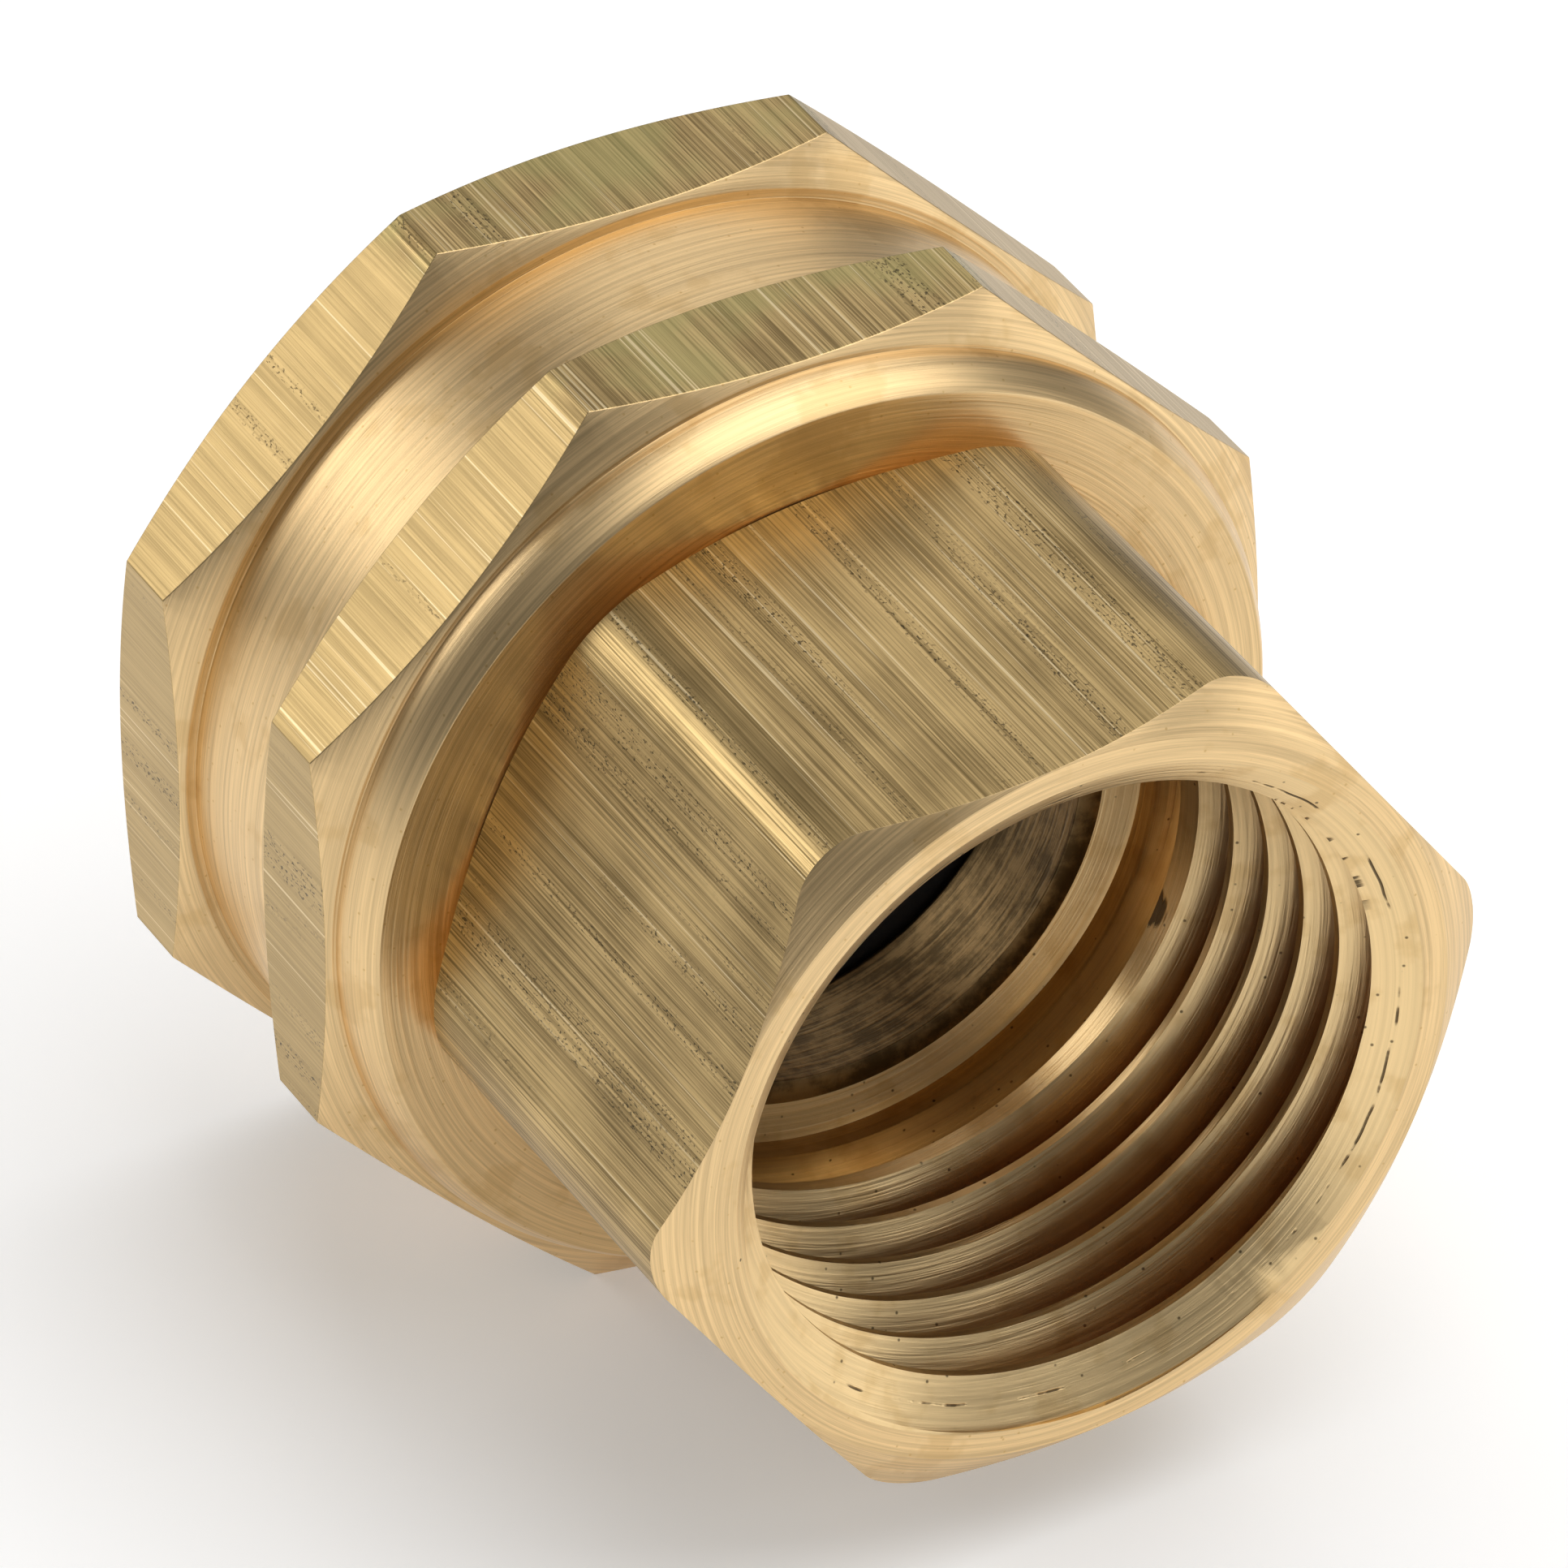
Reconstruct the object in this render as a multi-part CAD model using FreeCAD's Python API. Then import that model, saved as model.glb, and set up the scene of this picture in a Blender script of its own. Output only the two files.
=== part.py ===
import FreeCAD, Part
import math
import os

# Swivel pipe union with a female pipe thread at each end, in millimetres.
# The common axis is Y. The hexagonal body is at the -Y end and the octagonal swivel nut at the +Y end.
# The origin is on the axis where the body's thread begins inside its mouth. The union lies on one flat of
# the nut, so +Z points up through the middle of the opposite flat.

# Body: hexagonal bar
hex_across_flats = 22.225
hex_corner_radius = 2.4
hex_length = 13.5
hex_chamfer_angle = 33.0
hex_chamfer_start = 0.03
hex_turn = 6.0

# Body: threaded socket
socket_crest_radius = 9.11
socket_thread_depth = 1.35
socket_pitch = 1.814
socket_crest_width = 0.25
socket_root_width = 0.15
socket_thread_length = 9.7
socket_thread_start = 0.72
mouth_flare = 1.22
mouth_depth = 0.74
relief_depth = 0.64
relief_width = 1.25
plain_length = 0.75
shoulder_width = 1.21
shoulder_angle = 20.0

# Tail tube, swaged into the body and flanged behind the nut's front wall
tail_wall = 0.5
tail_lip_reach = 0.2
tail_lip_thickness = 0.12
flange_width = 1.0
flange_thickness = 0.9
flare_radius = 0.3

# Swivel nut: octagonal bar
nut_across_flats = 28.575
nut_chamfer_angle = 30.0
nut_chamfer_inset = 0.15
nut_rear_flange_width = 2.1
nut_front_flange_width = 2.15
nut_groove_depth = 0.44
nut_groove_width = 4.67
bead_length = 1.45
bead_root_inset = 0.27
bead_face_inset = 0.79
bead_bulge = 0.14
nut_wall = 1.35

# Swivel nut: thread for a pipe of the same size as the body's, cut a little more freely
nut_crest_ease = 0.09
nut_thread_depth = 1.25
nut_pitch = 1.814
nut_crest_width = 0.35
nut_root_width = 0.15
nut_mouth_flare = 1.45
nut_mouth_depth = 0.8

# Flat rubber washer, held in the recess between the nut's thread and the tail flange
washer_overhang = 0.5
washer_thickness = 2.0
washer_edge_clearance = 0.3
washer_face_clearance = 0.1

# Fits
press_gap = 0.0
swivel_clearance = 0.25
nut_float = 0.45
nut_face_gap = 0.05
recess_clearance = 0.35
recess_depth = 0.05

# The bores are cut in equal sectors
sectors = 8

# Radii that follow from the sizes above
mouth_radius = socket_crest_radius + mouth_flare
relief_radius = socket_crest_radius + relief_depth
tail_radius = socket_crest_radius - shoulder_width
tail_bore_radius = tail_radius - tail_wall
flange_radius = tail_radius + flange_width
nut_crest_radius = socket_crest_radius + nut_crest_ease
nut_root_radius = nut_crest_radius + nut_thread_depth
nut_mouth_radius = nut_crest_radius + nut_mouth_flare
recess_radius = nut_root_radius + recess_depth
washer_radius = recess_radius - washer_edge_clearance
washer_bore_radius = tail_bore_radius - washer_overhang
nut_apothem = nut_across_flats / 2
nut_corner_radius = nut_apothem / math.cos(math.pi / 8)
nut_chamfer_radius = nut_apothem - nut_chamfer_inset
nut_groove_radius = nut_apothem - nut_groove_depth
bead_root_radius = nut_apothem - bead_root_inset
bead_face_radius = nut_apothem - bead_face_inset

# Places along the axis, counted from the origin towards the nut
body_face = -mouth_depth
contact_face = body_face + hex_length
thread_end = socket_thread_length
relief_end = thread_end + relief_width
shoulder_rim = relief_end + plain_length
shoulder_foot = shoulder_rim + shoulder_width * math.tan(math.radians(shoulder_angle))
nut_face = contact_face + nut_face_gap
wall_back = nut_face + nut_wall
flange_front = wall_back + nut_float
flange_back = flange_front + flange_thickness
washer_front = flange_back + washer_face_clearance
washer_back = washer_front + washer_thickness
nut_chamfer_length = (nut_corner_radius - nut_chamfer_radius) * math.tan(math.radians(nut_chamfer_angle))
front_step = nut_face + bead_length
groove_front = front_step + 2 * nut_chamfer_length + nut_front_flange_width
groove_back = groove_front + nut_groove_width
nut_back = groove_back + 2 * nut_chamfer_length + nut_rear_flange_width
recess_back = washer_back + recess_clearance


def ring(radius, y):
    """Point of a turned outline at this radius and place along the axis."""
    return FreeCAD.Vector(radius, y, 0)


def turned(points):
    """Solid turned about the Y axis from a closed outline of straight lines."""
    outline = Part.makePolygon(points + [points[0]])
    return Part.Face(outline).revolve(FreeCAD.Vector(0, 0, 0), FreeCAD.Vector(0, 1, 0), 360)


def turned_wire(edges):
    """Solid turned about the Y axis from a closed outline of edges."""
    return Part.Face(Part.Wire(edges)).revolve(FreeCAD.Vector(0, 0, 0), FreeCAD.Vector(0, 1, 0), 360)


def bored(blank, points):
    """The blank with a hollow of this closed outline turned in it, one sector after another."""
    sector = Part.Face(Part.makePolygon(points + [points[0]]))
    sector = sector.revolve(FreeCAD.Vector(0, 0, 0), FreeCAD.Vector(0, 1, 0), 360 / sectors)
    result = blank
    for index in range(sectors):
        cutter = sector.copy()
        cutter.rotate(FreeCAD.Vector(0, 0, 0), FreeCAD.Vector(0, 1, 0), 360 * index / sectors)
        result = result.cut(cutter)
    return result


def prism(sides, across_flats, corner_angle, y_start, y_end):
    """Regular bar along Y. The corner angle is measured from +X towards +Z."""
    radius = across_flats / 2 / math.cos(math.pi / sides)
    corners = []
    for index in range(sides + 1):
        angle = math.radians(corner_angle + 360 * index / sides)
        corners.append(FreeCAD.Vector(radius * math.cos(angle), y_start, radius * math.sin(angle)))
    face = Part.Face(Part.makePolygon(corners))
    return face.extrude(FreeCAD.Vector(0, y_end - y_start, 0))


def groove_stretch(crest_radius, depth, pitch, crest_width, root_width, length):
    """Stretch of a right-hand thread groove of trapezium section, from y = 0 above +X up along Y."""
    helix = Part.makeHelix(pitch, length, crest_radius)
    mouth = pitch - crest_width
    flank = (mouth - root_width) / 2 / depth
    # The section starts inside the crest, by less than would make neighbouring turns meet.
    overshoot = crest_width / 4 / flank
    inner = mouth / 2 + flank * overshoot
    section = Part.makePolygon([
        FreeCAD.Vector(crest_radius - overshoot, 0, -inner),
        FreeCAD.Vector(crest_radius + depth, 0, -root_width / 2),
        FreeCAD.Vector(crest_radius + depth, 0, root_width / 2),
        FreeCAD.Vector(crest_radius - overshoot, 0, inner),
        FreeCAD.Vector(crest_radius - overshoot, 0, -inner),
    ])
    sweep = Part.BRepOffsetAPI.MakePipeShell(helix)
    sweep.setFrenetMode(True)
    sweep.add(section)
    sweep.build()
    sweep.makeSolid()
    groove = sweep.shape()
    groove.rotate(FreeCAD.Vector(0, 0, 0), FreeCAD.Vector(1, 0, 0), -90)
    return groove


def threaded(blank, crest_radius, depth, pitch, crest_width, root_width, y_start, y_end):
    """The blank with a thread groove cut in it from y_start to y_end, half a turn at a time."""
    half_pitch = pitch / 2
    result = blank
    groove_volume = 0
    for index in range(math.ceil((y_end - y_start) / half_pitch)):
        y = y_start + index * half_pitch
        length = min(half_pitch, y_end - y)
        groove = groove_stretch(crest_radius, depth, pitch, crest_width, root_width, length)
        groove.rotate(FreeCAD.Vector(0, 0, 0), FreeCAD.Vector(0, 1, 0), 180 * index)
        groove.translate(FreeCAD.Vector(0, y, 0))
        groove_volume += groove.Volume
        result = result.cut(groove)
    if blank.Volume - result.Volume < groove_volume * 0.4:
        raise ValueError("part of the thread is missing")
    return result


def hex_bar():
    """Hexagonal bar with rounded corners, chamfered by turning at both ends."""
    bar = prism(6, hex_across_flats, hex_turn, body_face, contact_face)
    long_edges = [edge for edge in bar.Edges if abs(edge.Length - hex_length) < 0.001]
    bar = bar.makeFillet(hex_corner_radius, long_edges)
    slope = math.tan(math.radians(hex_chamfer_angle))
    rim = hex_across_flats / 2 - hex_chamfer_start
    reach = hex_across_flats
    blank = turned([
        ring(0, body_face),
        ring(rim, body_face),
        ring(reach, body_face + (reach - rim) * slope),
        ring(reach, contact_face - (reach - rim) * slope),
        ring(rim, contact_face),
        ring(0, contact_face),
    ])
    return bar.common(blank)


def build_body():
    """Hexagonal body with its threaded socket, relief, shoulder and bore for the tail tube."""
    hollow = bored(hex_bar(), [
        ring(0, body_face - 1),
        ring(mouth_radius, body_face - 1),
        ring(mouth_radius, body_face),
        ring(socket_crest_radius, 0),
        ring(socket_crest_radius, thread_end),
        ring(relief_radius, thread_end + (relief_radius - socket_crest_radius) / 2),
        ring(relief_radius, relief_end),
        ring(socket_crest_radius, relief_end),
        ring(socket_crest_radius, shoulder_rim),
        ring(tail_radius + press_gap, shoulder_foot),
        ring(tail_radius + press_gap, contact_face + 1),
        ring(0, contact_face + 1),
    ])
    return threaded(hollow, socket_crest_radius, socket_thread_depth, socket_pitch,
                    socket_crest_width, socket_root_width, socket_thread_start - 2 * socket_pitch, thread_end)


def build_tail():
    """Tail tube with its front lip swaged onto the shoulder and its rear end flared into a flange."""
    slope = math.tan(math.radians(shoulder_angle))
    lip_radius = tail_radius + tail_lip_reach
    lip_back = shoulder_foot - tail_lip_reach * slope
    lip_front = shoulder_foot - tail_lip_thickness
    corner = flange_back - flare_radius
    bend = flare_radius * (1 - math.sqrt(0.5))
    edges = [
        Part.makeLine(ring(tail_bore_radius, lip_front), ring(lip_radius, lip_back - tail_lip_thickness)),
        Part.makeLine(ring(lip_radius, lip_back - tail_lip_thickness), ring(lip_radius, lip_back)),
        Part.makeLine(ring(lip_radius, lip_back), ring(tail_radius, shoulder_foot)),
        Part.makeLine(ring(tail_radius, shoulder_foot), ring(tail_radius, flange_front)),
        Part.makeLine(ring(tail_radius, flange_front), ring(flange_radius, flange_front)),
        Part.makeLine(ring(flange_radius, flange_front), ring(flange_radius, flange_back)),
        Part.makeLine(ring(flange_radius, flange_back), ring(tail_bore_radius + flare_radius, flange_back)),
        Part.Arc(ring(tail_bore_radius + flare_radius, flange_back),
                 ring(tail_bore_radius + bend, flange_back - bend),
                 ring(tail_bore_radius, corner)).toShape(),
        Part.makeLine(ring(tail_bore_radius, corner), ring(tail_bore_radius, lip_front)),
    ]
    return turned_wire(edges)


def flanged_bar():
    """Octagonal bar with two chamfered flanges, the groove between them and the bead at the front."""
    bar = prism(8, nut_across_flats, 22.5, nut_face, nut_back)
    tip = nut_corner_radius + 1
    rise = (tip - nut_chamfer_radius) * math.tan(math.radians(nut_chamfer_angle))
    bulge_y = nut_face + bead_length / 2
    bulge_radius = (bead_root_radius + bead_face_radius) / 2 + bead_bulge
    edges = [
        Part.makeLine(ring(0, nut_face), ring(bead_face_radius, nut_face)),
        Part.Arc(ring(bead_face_radius, nut_face), ring(bulge_radius, bulge_y),
                 ring(bead_root_radius, front_step)).toShape(),
    ]
    corners = [
        ring(bead_root_radius, front_step),
        ring(nut_chamfer_radius, front_step),
        ring(tip, front_step + rise),
        ring(tip, groove_front - rise),
        ring(nut_chamfer_radius, groove_front),
        ring(nut_groove_radius, groove_front),
        ring(nut_groove_radius, groove_back),
        ring(nut_chamfer_radius, groove_back),
        ring(tip, groove_back + rise),
        ring(tip, nut_back - rise),
        ring(nut_chamfer_radius, nut_back),
        ring(0, nut_back),
        ring(0, nut_face),
    ]
    for start, end in zip(corners, corners[1:]):
        edges.append(Part.makeLine(start, end))
    return bar.common(turned_wire(edges))


def build_nut():
    """Swivel nut with its front wall, washer recess and pipe thread."""
    hollow = bored(flanged_bar(), [
        ring(0, nut_face - 1),
        ring(tail_radius + swivel_clearance, nut_face - 1),
        ring(tail_radius + swivel_clearance, wall_back),
        ring(recess_radius, wall_back),
        ring(recess_radius, recess_back),
        ring(nut_crest_radius, recess_back + (recess_radius - nut_crest_radius) / 2),
        ring(nut_crest_radius, nut_back - nut_mouth_depth),
        ring(nut_mouth_radius, nut_back),
        ring(nut_mouth_radius, nut_back + 1),
        ring(0, nut_back + 1),
    ])
    return threaded(hollow, nut_crest_radius, nut_thread_depth, nut_pitch,
                    nut_crest_width, nut_root_width, recess_back, nut_back + nut_pitch)


def build_washer():
    """Flat rubber washer."""
    return turned([
        ring(washer_bore_radius, washer_front),
        ring(washer_radius, washer_front),
        ring(washer_radius, washer_back),
        ring(washer_bore_radius, washer_back),
    ])


def write(name, shape):
    """Save one piece, after checking that it is a single sound solid."""
    solids = shape.Solids
    if len(solids) != 1 or not solids[0].isValid():
        raise ValueError(name + " is not one valid solid")
    solids[0].exportStep("parts/" + name + ".step")


os.makedirs("parts", exist_ok=True)
write("hex_body", build_body())
write("tail_tube", build_tail())
write("swivel_nut", build_nut())
write("washer", build_washer())
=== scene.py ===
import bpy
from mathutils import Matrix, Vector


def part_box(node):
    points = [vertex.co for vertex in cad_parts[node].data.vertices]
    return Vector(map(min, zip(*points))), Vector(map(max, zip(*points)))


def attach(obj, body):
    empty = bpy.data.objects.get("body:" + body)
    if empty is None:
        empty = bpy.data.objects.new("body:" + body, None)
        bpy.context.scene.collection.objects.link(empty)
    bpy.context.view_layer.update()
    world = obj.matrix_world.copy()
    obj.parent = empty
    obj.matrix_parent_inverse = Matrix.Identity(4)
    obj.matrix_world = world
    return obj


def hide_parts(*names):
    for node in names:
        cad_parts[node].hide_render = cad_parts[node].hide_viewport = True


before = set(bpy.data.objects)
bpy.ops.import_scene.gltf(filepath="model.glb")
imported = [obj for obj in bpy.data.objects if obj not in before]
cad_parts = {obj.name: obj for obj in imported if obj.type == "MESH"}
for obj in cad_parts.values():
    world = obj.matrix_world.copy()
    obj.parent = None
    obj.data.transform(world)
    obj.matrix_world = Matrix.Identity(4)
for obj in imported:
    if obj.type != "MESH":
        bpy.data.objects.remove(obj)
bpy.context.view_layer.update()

import math

import bmesh
import bpy
from mathutils import Matrix, Vector

bl_info = {
    "name": "Swivel pipe union",
    "version": (1, 0, 0),
    "blender": (4, 5, 0),
    "location": "View3D > Sidebar > Union",
    "description": "Builds a brass swivel pipe union with cut threads and drawn and turned finishes",
    "category": "Add Mesh",
}

MM = 0.001
PER_METRE = 1000
TURN_STEPS = 288
THREAD_STEPS = 144
CORNER_STEPS = 14
BEAD_STEPS = 8
FLARE_STEPS = 6
ROUND_ABOVE = 28
SHARP_ABOVE = 32
MERGE = 0.002 * MM
BODY_EDGE = 0.04 * MM
NUT_EDGE = 0.03 * MM
TUBE_EDGE = 0.05 * MM
WASHER_EDGE = 0.15 * MM
CHAMFER_START = 0.03 * MM
RECESS_DEPTH = 0.05 * MM
BAR_REACH = 0.62
# Near-black painted shade for the torn line, cracks and chip in the thread.
PAINTED_CAVITY_SHADE = (0.03, 0.015, 0.008)
CHIP = (8.84, 9.7, -3.75)
PANELS = {
    "overhead": ((0.30, -0.10, 0.95), 0.60, 1.9),
    "left": ((-0.60, 0.65, 0.47), 0.24, 2.6),
    "right": ((0.86, -0.50, 0.16), 0.26, 1.5),
    "front": ((0.40, -0.84, 0.44), 0.16, 1.5),
    "back": ((0.40, 0.70, 0.60), 0.34, 0.7),
}
PANEL_DISTANCE = 0.50
WORLD_GLOW = 0.16
FLOOR_GLOW = 0.28
FLOOR_REACH = 3.0
LENS = 334.9
SENSOR = 36
CAMERA_PLACE = (-0.1542, -0.2587, 0.2313)
CAMERA_RIGHT = (0.8720, -0.4895, 0.0018)
CAMERA_BACK = (-0.3952, -0.7018, 0.5926)
BODY_LOW, BODY_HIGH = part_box("hex_body")
NUT_LOW, NUT_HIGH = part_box("swivel_nut")
TUBE_LOW, TUBE_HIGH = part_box("tail_tube")
WASHER_LOW, WASHER_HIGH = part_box("washer")
MIDDLE = (NUT_LOW + NUT_HIGH) / 2
AXIS = (0.0, 1.0, 0.0)
CENTRE = (0.0, 0.0, 0.0)


def length(name, description, default):
    """A size in metres, given in millimetres."""
    return bpy.props.FloatProperty(name=name, description=description, default=default * MM,
                                   unit="LENGTH", precision=5)


def angle(name, description, default):
    """An angle, given in degrees."""
    return bpy.props.FloatProperty(name=name, description=description, default=math.radians(default),
                                   unit="ROTATION")


def colour(name, description, default):
    """A colour of a finish."""
    return bpy.props.FloatVectorProperty(name=name, description=description, default=default,
                                         subtype="COLOR", size=3, min=0, max=1)


class BodySizes(bpy.types.PropertyGroup):
    """Sizes of the hexagonal body."""

    across_flats: length("Across flats", "Width of the hexagonal bar", 22.225)
    corner_radius: length("Corner radius", "Rounding of the bar's long corners", 2.4)
    turn: angle("Turn", "Turn of the hexagon about the axis", 6)
    chamfer_angle: angle("Chamfer angle", "Slope of both end chamfers", 33)
    crest_radius: length("Crest radius", "Inner radius of the thread", 9.11)
    thread_depth: length("Thread depth", "Depth of the thread groove", 1.35)
    pitch: length("Pitch", "Distance from one turn to the next", 1.814)
    crest_width: length("Crest width", "Width of the thread's crest", 0.25)
    root_width: length("Root width", "Width of the thread's root", 0.15)
    thread_start: length("Thread start", "Place of the groove's middle above +X", 0.72)
    thread_end: length("Thread end", "End of the groove's middle, from the origin", 9.7)
    mouth_radius: length("Mouth radius", "Radius of the countersink at the face", 10.33)
    relief_radius: length("Relief radius", "Radius of the relief behind the thread", 9.75)
    relief_width: length("Relief width", "Width of the relief", 1.25)
    plain_length: length("Plain length", "Plain bore between the relief and the shoulder", 0.75)
    shoulder_angle: angle("Shoulder angle", "Slope of the shoulder", 20)


class NutSizes(bpy.types.PropertyGroup):
    """Sizes of the octagonal swivel nut."""

    across_flats: length("Across flats", "Width of the octagonal bar", 28.575)
    chamfer_angle: angle("Chamfer angle", "Slope of the flanges' chamfers", 30)
    chamfer_inset: length("Chamfer inset", "How far the chamfers start inside the flats", 0.15)
    front_flange: length("Front flange", "Width of the front flange at its corners", 2.15)
    rear_flange: length("Rear flange", "Width of the rear flange at its corners", 2.1)
    groove_radius: length("Groove radius", "Radius of the groove between the flanges", 13.8475)
    groove_width: length("Groove width", "Width of the groove", 4.67)
    bead_length: length("Bead length", "Length of the round bead at the front", 1.45)
    bead_root: length("Bead root", "Radius of the bead where it meets the flange", 14.0175)
    bead_face: length("Bead face", "Radius of the bead at the front face", 13.4975)
    bead_bulge: length("Bead bulge", "How far the bead bulges", 0.14)
    wall: length("Front wall", "Thickness of the wall that holds the tube", 1.35)
    crest_radius: length("Crest radius", "Inner radius of the thread", 9.2)
    thread_depth: length("Thread depth", "Depth of the thread groove", 1.25)
    pitch: length("Pitch", "Distance from one turn to the next", 1.814)
    crest_width: length("Crest width", "Width of the thread's crest", 0.35)
    root_width: length("Root width", "Width of the thread's root", 0.15)
    mouth_radius: length("Mouth radius", "Radius of the countersink at the rear", 10.65)
    mouth_depth: length("Mouth depth", "Depth of the countersink", 0.8)
    clearance: length("Clearance", "Gap between the front wall and the tube", 0.25)
    recess_gap: length("Recess gap", "Room behind the washer", 0.35)


class TubeSizes(bpy.types.PropertyGroup):
    """Sizes of the tail tube and the washer."""

    bore: length("Bore radius", "Inner radius of the tube", 7.4)
    wall: length("Wall", "Thickness of the tube", 0.5)
    lip_reach: length("Lip reach", "How far the swaged lip goes out over the shoulder", 0.2)
    lip_thickness: length("Lip thickness", "Thickness of the swaged lip", 0.12)
    flange_thickness: length("Flange thickness", "Thickness of the rear flange", 0.9)
    flare: length("Flare", "Rounding between the bore and the flange's face", 0.3)
    washer_bore: length("Washer bore", "Inner radius of the washer", 6.9)


class Finishes(bpy.types.PropertyGroup):
    """Colours of the brass and the rubber."""

    drawn_dark: colour("Drawn, dark", "Dark streaks of the drawn flats", (0.22, 0.15, 0.060))
    drawn_light: colour("Drawn, light", "Light streaks of the drawn flats", (0.66, 0.47, 0.21))
    drawn_green: colour("Drawn, green", "Greenish tint of the drawn flats", (0.34, 0.32, 0.12))
    turned: colour("Turned", "Turned faces", (0.92, 0.66, 0.34))
    stain: colour("Stain", "Tan stains on the turned faces", (0.55, 0.34, 0.12))
    thread: colour("Thread", "Cut thread", (0.90, 0.66, 0.34))
    tube: colour("Tube", "Dull tube", (0.30, 0.20, 0.09))
    rubber: colour("Rubber", "Washer", (0.018, 0.018, 0.018))
    floor: colour("Floor", "Studio floor", (0.93, 0.93, 0.93))


class Value:
    """A shader value. Python arithmetic on it adds Math nodes."""

    def __init__(self, graph, socket):
        self.graph = graph
        self.socket = socket

    def maths(self, operation, *values):
        inputs = dict(enumerate(values))
        return self.graph.node("ShaderNodeMath", {"operation": operation}, inputs)

    def __add__(self, other):
        return self.maths("ADD", self, other)

    def __radd__(self, other):
        return self.maths("ADD", other, self)

    def __sub__(self, other):
        return self.maths("SUBTRACT", self, other)

    def __rsub__(self, other):
        return self.maths("SUBTRACT", other, self)

    def __mul__(self, other):
        return self.maths("MULTIPLY", self, other)

    def __rmul__(self, other):
        return self.maths("MULTIPLY", other, self)

    def __truediv__(self, other):
        return self.maths("DIVIDE", self, other)

    def magnitude(self):
        return self.maths("ABSOLUTE", self)

    def sqrt(self):
        return self.maths("SQRT", self)


class Graph:
    """The nodes of one material. Its x, y, z and radius are in millimetres."""

    def __init__(self, name):
        self.material = bpy.data.materials.new(name)
        self.material.use_nodes = True
        self.tree = self.material.node_tree
        self.tree.nodes.clear()
        place = self.node("ShaderNodeTexCoord", output="Object")
        axes = self.node("ShaderNodeSeparateXYZ", inputs={0: place}, output=None)
        self.x = Value(self, axes.outputs[0]) * PER_METRE
        self.y = Value(self, axes.outputs[1]) * PER_METRE
        self.z = Value(self, axes.outputs[2]) * PER_METRE
        self.radius = (self.x * self.x + self.z * self.z).sqrt()

    def node(self, kind, settings=None, inputs=None, output=0):
        """Add a node: its settings first, then the values or links of its sockets."""
        node = self.tree.nodes.new(kind)
        for key, value in (settings or {}).items():
            setattr(node, key, value)
        for key, value in (inputs or {}).items():
            if isinstance(value, Value):
                self.tree.links.new(value.socket, node.inputs[key])
            else:
                node.inputs[key].default_value = value
        return node if output is None else Value(self, node.outputs[output])

    def vector(self, x, y, z):
        """One vector from three values."""
        return self.node("ShaderNodeCombineXYZ", inputs={0: x, 1: y, 2: z})

    def noise(self, x, y, z, w=None, detail=2.0, roughness=0.5):
        """Smooth noise of size 1, in three or four dimensions."""
        settings = {"noise_dimensions": "3D" if w is None else "4D"}
        inputs = {"Vector": self.vector(x, y, z), "Scale": 1.0, "Detail": detail, "Roughness": roughness}
        if w is not None:
            inputs["W"] = w
        return self.node("ShaderNodeTexNoise", settings, inputs, output="Fac")

    def spots(self, scale):
        """Distance to the nearest of many scattered points, whose spacing is 1 / scale millimetres."""
        place = self.vector(self.x * scale, self.y * scale, self.z * scale)
        inputs = {"Vector": place, "Scale": 1.0}
        return self.node("ShaderNodeTexVoronoi", inputs=inputs, output="Distance")

    def step(self, value, low, high, to_low=0.0, to_high=1.0):
        """The value carried smoothly from the range low..high to the range to_low..to_high."""
        settings = {"interpolation_type": "SMOOTHSTEP"}
        inputs = {"Value": value, "From Min": low, "From Max": high, "To Min": to_low, "To Max": to_high}
        return self.node("ShaderNodeMapRange", settings, inputs)

    def mix(self, factor, a, b):
        """Mix of two colours."""
        a = (*a, 1) if isinstance(a, (tuple, list)) else a
        b = (*b, 1) if isinstance(b, (tuple, list)) else b
        settings = {"data_type": "RGBA", "blend_type": "MIX"}
        return self.node("ShaderNodeMix", settings, {0: factor, 6: a, 7: b}, output=2)

    def bump(self, height, distance, strength=1.0):
        """Normal from a height between 0 and 1, whose full range is distance millimetres."""
        inputs = {"Height": height, "Distance": distance * MM, "Strength": strength}
        return self.node("ShaderNodeBump", inputs=inputs)

    def finish(self, base, roughness, normal=None, metallic=1.0, constants=None):
        """Close the material with a Principled shader."""
        inputs = {"Base Color": base, "Roughness": roughness, "Metallic": metallic, **(constants or {})}
        if normal is not None:
            inputs["Normal"] = normal
        shader = self.node("ShaderNodeBsdfPrincipled", inputs=inputs)
        self.node("ShaderNodeOutputMaterial", inputs={"Surface": shader}, output=None)
        return self.material


def scaled(shade, factor):
    """A colour made darker or lighter."""
    return tuple(part * factor for part in shade)


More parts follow.
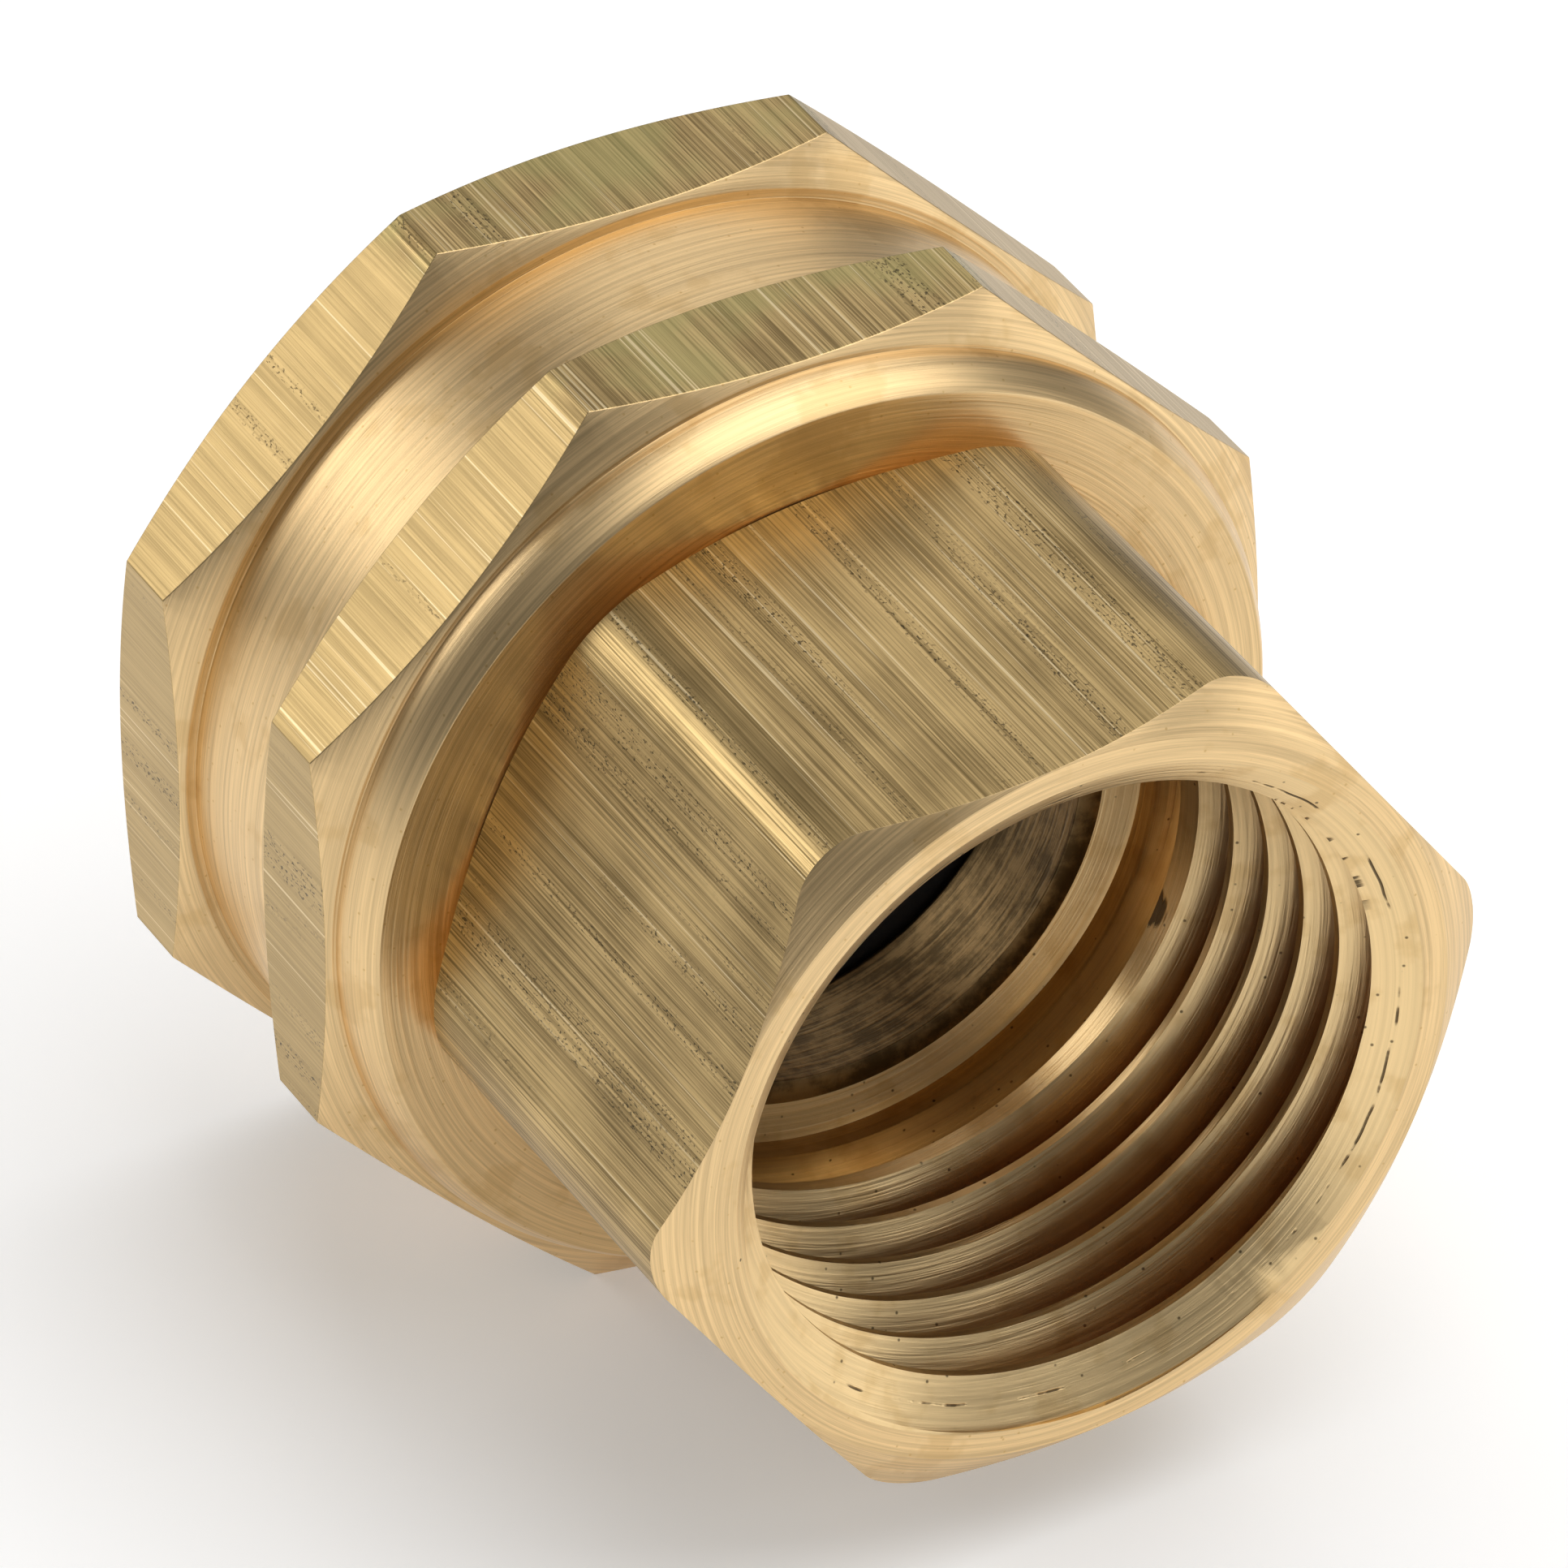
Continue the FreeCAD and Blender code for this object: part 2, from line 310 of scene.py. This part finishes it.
def drawn_brass(finishes):
    """Drawn bar: streaks along the axis, rows of pits, bright scratches and a darker green tint on the
    nut's top flats.

    The streaks are calmer on the nut, whose flats lie further from the axis.
    """
    g = Graph("drawn_brass")
    fine = g.noise(g.x * 17, g.y * 0.10, g.z * 17, detail=3, roughness=0.65)
    broad = g.noise(g.x * 2.6, g.y * 0.05, g.z * 2.6, detail=3)
    cloud = g.noise(g.x * 0.25, g.y * 0.25, g.z * 0.25, detail=5)
    shade = g.step(fine * 0.74 + broad * 0.26 + (cloud - 0.5) * 0.25, 0.34, 0.66)
    calm = g.step(g.radius, 12.9, 13.3) * g.step(g.z, 13.3, 14.2, 1.0, 0.0)
    shade = shade + (0.7 - shade) * calm * 0.7
    base = g.mix(shade, tuple(finishes.drawn_dark), tuple(finishes.drawn_light))
    # Darker green tint, mixed in on the nut's top flats only, chosen by height.
    top_tint = g.step(g.z, 13.3, 14.2) * g.step(cloud, 0.40, 0.60)
    base = g.mix(top_tint * 0.5, base, tuple(finishes.drawn_green))
    hairline = g.step(g.noise(g.x * 9 + 40, g.y * 0.04, g.z * 9, detail=1), 0.66, 0.72)
    base = g.mix(hairline * 0.55, base, (0.95, 0.78, 0.48))
    pits = g.step(g.noise(g.x * 15, g.y * 7, g.z * 15 + 20, detail=2), 0.58, 0.66)
    rows = g.step(g.noise(g.x * 1.1 + 7, g.y * 0.03, g.z * 1.1, detail=1), 0.55, 0.66)
    dark = pits * rows
    base = g.mix(dark * 0.75, base, (0.03, 0.025, 0.015))
    rough = 0.34 + (1 - shade) * 0.14
    height = fine * 0.7 + broad * 0.15 - dark * 0.5
    return g.finish(base, rough, g.bump(height, 0.010))


def turned_brass(finishes):
    """Turned faces: fine lathe lines round the axis, faint tan stains and tiny specks."""
    g = Graph("turned_brass")
    cosine = g.x / g.radius
    sine = g.z / g.radius
    lines = g.noise(g.radius * 11, g.y * 11, cosine * 1.5, sine * 1.5, detail=4, roughness=0.7)
    bands = g.noise(g.radius * 2.2, g.y * 2.2, cosine * 1.2, sine * 1.2, detail=2)
    stain = g.step(g.noise(g.x * 0.35, g.y * 0.35, g.z * 0.35, detail=4, roughness=0.6), 0.55, 0.64)
    specks = g.step(g.spots(2.2), 0.05, 0.12, 1.0, 0.0)
    base = g.mix(g.step(lines, 0.3, 0.7), scaled(finishes.turned, 0.66), tuple(finishes.turned))
    base = g.mix(stain * 0.30, base, tuple(finishes.stain))
    base = g.mix(specks * 0.6, base, tuple(finishes.stain))
    rough = 0.30 + lines * 0.14
    return g.finish(base, rough, g.bump(lines * 0.7 + bands * 0.5, 0.018))


def thread_brass(finishes):
    """Cut thread and bored faces: lathe lines, grime, painted shade in the roots, and painted shade for a
    torn mouth, cracks and one chip.
    """
    g = Graph("thread_brass")
    cosine = g.x / g.radius
    sine = g.z / g.radius
    lines = g.noise(g.radius * 9, g.y * 9, cosine * 0.7, sine * 0.7, detail=3, roughness=0.6)
    grime = g.step(g.noise(g.x * 0.8, g.y * 0.8, g.z * 0.8, detail=4), 0.50, 0.68)
    specks = g.step(g.spots(1.6), 0.04, 0.10, 1.0, 0.0)
    base = g.mix(g.step(lines, 0.3, 0.7), scaled(finishes.thread, 0.80), tuple(finishes.thread))
    base = g.mix(grime * 0.35, base, tuple(finishes.stain))
    base = g.mix(specks * 0.8, base, (0.06, 0.04, 0.02))
    # Painted shade: the thread roots are darkened to red-brown past y 0.5, more towards +X.
    root = g.step(g.radius, 9.3, 10.3) * g.step(g.x, -4.0, 3.0) * g.step(g.y, 0.1, 0.5)
    base = g.mix(root * 0.7, base, (0.30, 0.11, 0.035))
    # Painted shade: near-black marks stand in for a torn line at the mouth, cracks and one chip, which are
    # not modelled as dents.
    mouth = g.step(g.y, -0.06, 0.02, 1.0, 0.0)
    wander = g.noise(cosine * 4, sine * 4, 0.0, detail=2)
    torn = g.step((g.radius - 9.65 - wander * 0.3).magnitude(), 0.01, 0.045, 1.0, 0.0) * mouth
    torn = torn * g.step(g.noise(cosine * 6, sine * 6, 4.0, detail=4), 0.48, 0.60)
    cracks = g.step(g.noise(cosine * 30, sine * 30, 0.0, detail=1), 0.55, 0.61)
    cracks = cracks * g.step(g.radius, 9.3, 9.5, 1.0, 0.0) * g.step(g.y, 0.25, 0.4, 1.0, 0.0)
    cracks = cracks * g.step(sine, 0.2, 0.4)
    offsets = (g.x - CHIP[0], g.y - CHIP[1], g.z - CHIP[2])
    away = (offsets[0] * offsets[0] + offsets[1] * offsets[1] + offsets[2] * offsets[2]).sqrt()
    chip = g.step(away + lines * 0.5, 0.85, 1.0, 1.0, 0.0)
    # Painted shade of the tear, cracks and chip, also used as a dent in the bump.
    dark = g.step(torn + cracks + chip, 0.0, 1.0)
    base = g.mix(dark * 0.85, base, PAINTED_CAVITY_SHADE)
    rough = 0.24 + lines * 0.14
    return g.finish(base, rough, g.bump(lines - dark * 2, 0.012))


def dull_tube(finishes):
    """Dull tube: lines round its bore and blotches."""
    g = Graph("dull_tube")
    grain = g.noise(g.x * 1.4, g.y * 1.4, g.z * 1.4, detail=5, roughness=0.7)
    lines = g.noise(g.x * 0.4, g.y * 9, g.z * 0.4, detail=3)
    shade = g.step(grain * 0.5 + lines * 0.5, 0.40, 0.60)
    base = g.mix(shade, scaled(finishes.tube, 0.35), tuple(finishes.tube))
    return g.finish(base, 0.34 + grain * 0.2, g.bump(grain * 0.5 + lines, 0.02))


def rubber(finishes):
    """Moulded rubber."""
    g = Graph("rubber")
    grain = g.noise(g.x * 12, g.y * 12, g.z * 12, detail=3)
    base = g.mix(grain, tuple(finishes.rubber), scaled(finishes.rubber, 1.8))
    return g.finish(base, 0.62 + grain * 0.15, g.bump(grain, 0.01), metallic=0.0)


MAKERS = {
    "drawn_brass": drawn_brass,
    "turned_brass": turned_brass,
    "thread_brass": thread_brass,
    "dull_tube": dull_tube,
    "rubber": rubber,
}


def material(name):
    """The material of this name, made the first time that it is asked for."""
    found = bpy.data.materials.get(name)
    return found or MAKERS[name](bpy.context.scene.union_finishes)


def sharp_edges(bm, least):
    """Edges whose two faces meet at more than this angle, in degrees."""
    limit = math.radians(least)
    return [edge for edge in bm.edges if len(edge.link_faces) == 2 and edge.calc_face_angle() > limit]


def round_edges(bm, edges, width, segments=2):
    """Round these edges."""
    bmesh.ops.bevel(bm, geom=edges, offset=width, offset_type="OFFSET", segments=segments, profile=0.5,
                    affect="EDGES", clamp_overlap=True, material=-1)


def turned(points, closed=False):
    """Shape turned about the axis from an outline of (radius, place along the axis)."""
    bm = bmesh.new()
    verts = [bm.verts.new((radius, place, 0)) for radius, place in points]
    edges = [bm.edges.new(pair) for pair in zip(verts, verts[1:])]
    if closed:
        edges.append(bm.edges.new((verts[-1], verts[0])))
    bmesh.ops.spin(bm, geom=verts + edges, cent=CENTRE, axis=AXIS, dvec=CENTRE, angle=2 * math.pi,
                   steps=TURN_STEPS, use_merge=True, use_normal_flip=False, use_duplicate=False)
    bmesh.ops.remove_doubles(bm, verts=bm.verts, dist=MERGE / 4)
    bmesh.ops.recalc_face_normals(bm, faces=bm.faces)
    return bm


def bar(sides, across_flats, corner_angle, low, high, corner_radius=0.0):
    """Regular bar along the axis, with rounded long corners."""
    bm = bmesh.new()
    radius = across_flats / 2 / math.cos(math.pi / sides)
    made = bmesh.ops.create_circle(bm, cap_ends=True, segments=sides, radius=radius)
    first = made["verts"][0].co
    turn = Matrix.Rotation(corner_angle - math.atan2(first.y, first.x), 4, "Z")
    place = Matrix.Translation((0, low, 0)) @ Matrix.Rotation(math.pi / 2, 4, "X") @ turn
    bmesh.ops.transform(bm, matrix=place, verts=bm.verts)
    grown = bmesh.ops.extrude_face_region(bm, geom=bm.faces[:])
    moved = [item for item in grown["geom"] if isinstance(item, bmesh.types.BMVert)]
    bmesh.ops.translate(bm, vec=(0, high - low, 0), verts=moved)
    bmesh.ops.recalc_face_normals(bm, faces=bm.faces)
    if corner_radius:
        long_edges = [edge for edge in bm.edges if abs(edge.verts[0].co.y - edge.verts[1].co.y) > MM]
        round_edges(bm, long_edges, corner_radius * math.tan(math.pi / sides), CORNER_STEPS)
    return bm


def tap(sizes, start, end):
    """Solid that cuts a right-hand thread groove, from start to end along the axis."""
    bm = bmesh.new()
    mouth = sizes.pitch - sizes.crest_width
    flank = (mouth - sizes.root_width) / 2 / sizes.thread_depth
    overshoot = sizes.crest_width / 4 / flank
    inner = mouth / 2 + flank * overshoot
    low = sizes.crest_radius - overshoot
    high = sizes.crest_radius + sizes.thread_depth
    corners = [(low, -inner), (high, -sizes.root_width / 2), (high, sizes.root_width / 2), (low, inner)]
    verts = [bm.verts.new((radius, start + place, 0)) for radius, place in corners]
    edges = [bm.edges.new(pair) for pair in zip(verts, verts[1:] + verts[:1])]
    steps = round((end - start) / sizes.pitch * THREAD_STEPS)
    bmesh.ops.spin(bm, geom=verts + edges, cent=CENTRE, axis=AXIS, dvec=(0, sizes.pitch / THREAD_STEPS, 0),
                   angle=2 * math.pi * steps / THREAD_STEPS, steps=steps, use_merge=False,
                   use_normal_flip=False, use_duplicate=False)
    bmesh.ops.holes_fill(bm, edges=[edge for edge in bm.edges if edge.is_boundary], sides=4)
    bmesh.ops.recalc_face_normals(bm, faces=bm.faces)
    return bm


def solid(name, bm, finish):
    """Object made of this mesh, with one finish."""
    mesh = bpy.data.meshes.new(name)
    bm.to_mesh(mesh)
    bm.free()
    mesh.materials.append(material(finish))
    made = bpy.data.objects.new(name, mesh)
    bpy.context.scene.collection.objects.link(made)
    return made


def carve(name, blank, cuts):
    """One object from a blank and (operation, cutter) pairs. Each cut face keeps its cutter's finish."""
    for operation, cutter in cuts:
        cut = blank.modifiers.new("cut", "BOOLEAN")
        cut.operation = operation
        cut.solver = "EXACT"
        cut.material_mode = "TRANSFER"
        cut.object = cutter
    depsgraph = bpy.context.evaluated_depsgraph_get()
    shaped = blank.evaluated_get(depsgraph)
    mesh = bpy.data.meshes.new_from_object(shaped, preserve_all_data_layers=True, depsgraph=depsgraph)
    made = bpy.data.objects.new(name, mesh)
    bpy.context.scene.collection.objects.link(made)
    for used in [blank] + [cutter for _, cutter in cuts]:
        bpy.data.objects.remove(used)
    return made


def complete(piece, rounding, body, node):
    """Finish a piece and put it on its body in place of its plain node.

    Its edges are rounded outside the threaded bores, and its faces are shaded smooth between sharp edges.
    """
    bm = bmesh.new()
    bm.from_mesh(piece.data)
    bmesh.ops.remove_doubles(bm, verts=bm.verts, dist=MERGE)
    bmesh.ops.dissolve_degenerate(bm, edges=bm.edges, dist=MERGE)
    outside = [index for index, finish in enumerate(piece.data.materials) if finish.name != "thread_brass"]
    edges = [edge for edge in sharp_edges(bm, ROUND_ABOVE)
             if any(face.material_index in outside for face in edge.link_faces)]
    round_edges(bm, edges, rounding)
    for face in bm.faces:
        face.smooth = True
    for edge in bm.edges:
        edge.smooth = edge.calc_face_angle(0) < math.radians(SHARP_ABOVE)
    bm.to_mesh(piece.data)
    bm.free()
    weighted = piece.modifiers.new("weighted", "WEIGHTED_NORMAL")
    weighted.keep_sharp = True
    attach(piece, body)
    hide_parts(node)


class UNION_OT_body(bpy.types.Operator):
    """Make the hexagonal body with its threaded socket"""

    bl_idname = "union.body"
    bl_label = "Body"

    def execute(self, context):
        sizes = context.scene.union_body
        tube = context.scene.union_tube
        low = BODY_LOW.y
        high = BODY_HIGH.y
        slope = math.tan(sizes.chamfer_angle)
        rim = sizes.across_flats / 2 - CHAMFER_START
        reach = sizes.across_flats * BAR_REACH
        hexagon = bar(6, sizes.across_flats, sizes.turn, low - MM, high + MM, sizes.corner_radius)
        blank = turned([(0, low), (rim, low), (reach, low + (reach - rim) * slope),
                        (reach, high - (reach - rim) * slope), (rim, high), (0, high)])
        relief_end = sizes.thread_end + sizes.relief_width
        rim_end = relief_end + sizes.plain_length
        seat = tube.bore + tube.wall
        foot = rim_end + (sizes.crest_radius - seat) * math.tan(sizes.shoulder_angle)
        hollow = turned([
            (0, low - MM),
            (sizes.mouth_radius, low - MM),
            (sizes.mouth_radius, low),
            (sizes.crest_radius, 0),
            (sizes.crest_radius, sizes.thread_end),
            (sizes.relief_radius, sizes.thread_end + (sizes.relief_radius - sizes.crest_radius) / 2),
            (sizes.relief_radius, relief_end),
            (sizes.crest_radius, relief_end),
            (sizes.crest_radius, rim_end),
            (seat, foot),
            (seat, high + MM),
            (0, high + MM),
        ])
        groove = tap(sizes, sizes.thread_start - 2 * sizes.pitch, sizes.thread_end)
        piece = carve("body", solid("hexagon", hexagon, "drawn_brass"), [
            ("INTERSECT", solid("blank", blank, "turned_brass")),
            ("DIFFERENCE", solid("hollow", hollow, "thread_brass")),
            ("DIFFERENCE", solid("groove", groove, "thread_brass")),
        ])
        complete(piece, BODY_EDGE, "fitting_body", "hex_body")
        return {"FINISHED"}


class UNION_OT_nut(bpy.types.Operator):
    """Make the octagonal swivel nut with its thread"""

    bl_idname = "union.nut"
    bl_label = "Nut"

    def execute(self, context):
        sizes = context.scene.union_nut
        tube = context.scene.union_tube
        low = NUT_LOW.y
        high = NUT_HIGH.y
        apothem = sizes.across_flats / 2
        corner = apothem / math.cos(math.pi / 8)
        land = apothem - sizes.chamfer_inset
        slope = math.tan(sizes.chamfer_angle)
        chamfer = (corner - land) * slope
        tip = corner + MM
        rise = (tip - land) * slope
        step = low + sizes.bead_length
        groove_front = step + 2 * chamfer + sizes.front_flange
        groove_back = groove_front + sizes.groove_width
        outline = [(0, low), (sizes.bead_face, low)]
        for index in range(1, BEAD_STEPS):
            share = index / BEAD_STEPS
            bulge = 4 * sizes.bead_bulge * share * (1 - share)
            radius = sizes.bead_face + (sizes.bead_root - sizes.bead_face) * share + bulge
            outline.append((radius, low + sizes.bead_length * share))
        outline += [
            (sizes.bead_root, step),
            (land, step),
            (tip, step + rise),
            (tip, groove_front - rise),
            (land, groove_front),
            (sizes.groove_radius, groove_front),
            (sizes.groove_radius, groove_back),
            (land, groove_back),
            (tip, groove_back + rise),
            (tip, high - rise),
            (land, high),
            (0, high),
        ]
        octagon = bar(8, sizes.across_flats, math.pi / 8, low - MM, high + MM)
        recess = sizes.crest_radius + sizes.thread_depth + RECESS_DEPTH
        recess_back = WASHER_HIGH.y + sizes.recess_gap
        neck = tube.bore + tube.wall + sizes.clearance
        hollow = turned([
            (0, low - MM),
            (neck, low - MM),
            (neck, low + sizes.wall),
            (recess, low + sizes.wall),
            (recess, recess_back),
            (sizes.crest_radius, recess_back + (recess - sizes.crest_radius) / 2),
            (sizes.crest_radius, high - sizes.mouth_depth),
            (sizes.mouth_radius, high),
            (sizes.mouth_radius, high + MM),
            (0, high + MM),
        ])
        groove = tap(sizes, recess_back, high + sizes.pitch)
        piece = carve("nut", solid("octagon", octagon, "drawn_brass"), [
            ("INTERSECT", solid("blank", turned(outline), "turned_brass")),
            ("DIFFERENCE", solid("hollow", hollow, "thread_brass")),
            ("DIFFERENCE", solid("groove", groove, "thread_brass")),
        ])
        complete(piece, NUT_EDGE, "nut", "swivel_nut")
        return {"FINISHED"}


class UNION_OT_tube(bpy.types.Operator):
    """Make the tail tube and the washer"""

    bl_idname = "union.tube"
    bl_label = "Tube and washer"

    def execute(self, context):
        sizes = context.scene.union_tube
        body = context.scene.union_body
        seat = sizes.bore + sizes.wall
        slope = math.tan(body.shoulder_angle)
        rim_end = body.thread_end + body.relief_width + body.plain_length
        foot = rim_end + (body.crest_radius - seat) * slope
        lip = seat + sizes.lip_reach
        lip_back = foot - sizes.lip_reach * slope
        flange_back = TUBE_HIGH.y
        flange_front = flange_back - sizes.flange_thickness
        outline = [
            (sizes.bore, foot - sizes.lip_thickness),
            (lip, lip_back - sizes.lip_thickness),
            (lip, lip_back),
            (seat, foot),
            (seat, flange_front),
            (TUBE_HIGH.x, flange_front),
            (TUBE_HIGH.x, flange_back),
        ]
        for index in range(FLARE_STEPS + 1):
            turn = math.pi / 2 * index / FLARE_STEPS
            outline.append((sizes.bore + sizes.flare * (1 - math.sin(turn)),
                            flange_back - sizes.flare * (1 - math.cos(turn))))
        piece = solid("tube", turned(outline, closed=True), "dull_tube")
        complete(piece, TUBE_EDGE, "fitting_body", "tail_tube")
        ring = turned([
            (sizes.washer_bore, WASHER_LOW.y),
            (WASHER_HIGH.x, WASHER_LOW.y),
            (WASHER_HIGH.x, WASHER_HIGH.y),
            (sizes.washer_bore, WASHER_HIGH.y),
        ], closed=True)
        piece = solid("flat_washer", ring, "rubber")
        complete(piece, WASHER_EDGE, "washer", "washer")
        return {"FINISHED"}


def panel(name, direction, size, glow):
    """Soft square light in this direction from the union, turned to it. Glow is its own brightness."""
    data = bpy.data.lights.new(name, "AREA")
    data.size = size
    data.energy = glow * math.pi * size * size
    made = bpy.data.objects.new(name, data)
    bpy.context.scene.collection.objects.link(made)
    towards = Vector(direction).normalized()
    made.location = MIDDLE + towards * PANEL_DISTANCE
    made.rotation_euler = (-towards).to_track_quat("-Z", "Y").to_euler()


class UNION_OT_stage(bpy.types.Operator):
    """Make the floor, the lights and the camera"""

    bl_idname = "union.stage"
    bl_label = "Stage"

    def execute(self, context):
        scene = context.scene
        scene.view_settings.view_transform = "Standard"
        world = bpy.data.worlds.new("studio")
        world.use_nodes = True
        back = world.node_tree.nodes["Background"]
        back.inputs["Color"].default_value = (1.0, 1.0, 1.0, 1)
        back.inputs["Strength"].default_value = WORLD_GLOW
        scene.world = world
        bm = bmesh.new()
        bmesh.ops.create_grid(bm, x_segments=2, y_segments=2, size=FLOOR_REACH)
        bmesh.ops.translate(bm, vec=(0, 0, NUT_LOW.z), verts=bm.verts)
        mesh = bpy.data.meshes.new("floor")
        bm.to_mesh(mesh)
        bm.free()
        g = Graph("floor")
        shade = (*scene.union_finishes.floor, 1)
        glow = {"Emission Color": shade, "Emission Strength": FLOOR_GLOW}
        mesh.materials.append(g.finish(shade, 0.9, metallic=0.0, constants=glow))
        floor = bpy.data.objects.new("floor", mesh)
        scene.collection.objects.link(floor)
        for name, (direction, size, glow) in PANELS.items():
            panel(name, direction, size, glow)
        lens = bpy.data.cameras.new("camera")
        lens.sensor_width = SENSOR
        lens.lens = LENS
        camera = bpy.data.objects.new("camera", lens)
        scene.collection.objects.link(camera)
        right = Vector(CAMERA_RIGHT).normalized()
        back_axis = Vector(CAMERA_BACK).normalized()
        up = back_axis.cross(right)
        camera.matrix_world = Matrix((
            (right.x, up.x, back_axis.x, CAMERA_PLACE[0]),
            (right.y, up.y, back_axis.y, CAMERA_PLACE[1]),
            (right.z, up.z, back_axis.z, CAMERA_PLACE[2]),
            (0, 0, 0, 1),
        ))
        scene.camera = camera
        return {"FINISHED"}


class UNION_PT_panel(bpy.types.Panel):
    """Sidebar panel that makes the union and shows its sizes and colours"""

    bl_label = "Swivel pipe union"
    bl_idname = "UNION_PT_panel"
    bl_space_type = "VIEW_3D"
    bl_region_type = "UI"
    bl_category = "Union"

    def draw(self, context):
        for operator in OPERATORS:
            self.layout.operator(operator.bl_idname)
        for group in GROUPS:
            box = self.layout.box()
            for key in GROUPS[group].__annotations__:
                box.prop(getattr(context.scene, group), key)


OPERATORS = (UNION_OT_body, UNION_OT_nut, UNION_OT_tube, UNION_OT_stage)
GROUPS = {
    "union_body": BodySizes,
    "union_nut": NutSizes,
    "union_tube": TubeSizes,
    "union_finishes": Finishes,
}


def register():
    for kind in (*GROUPS.values(), *OPERATORS, UNION_PT_panel):
        bpy.utils.register_class(kind)
    for name, kind in GROUPS.items():
        setattr(bpy.types.Scene, name, bpy.props.PointerProperty(type=kind))


def unregister():
    for name in GROUPS:
        delattr(bpy.types.Scene, name)
    for kind in (UNION_PT_panel, *reversed(OPERATORS), *reversed(list(GROUPS.values()))):
        bpy.utils.unregister_class(kind)


def main():
    register()
    bpy.ops.union.body()
    bpy.ops.union.nut()
    bpy.ops.union.tube()
    bpy.ops.union.stage()


if __name__ == "__main__":
    main()
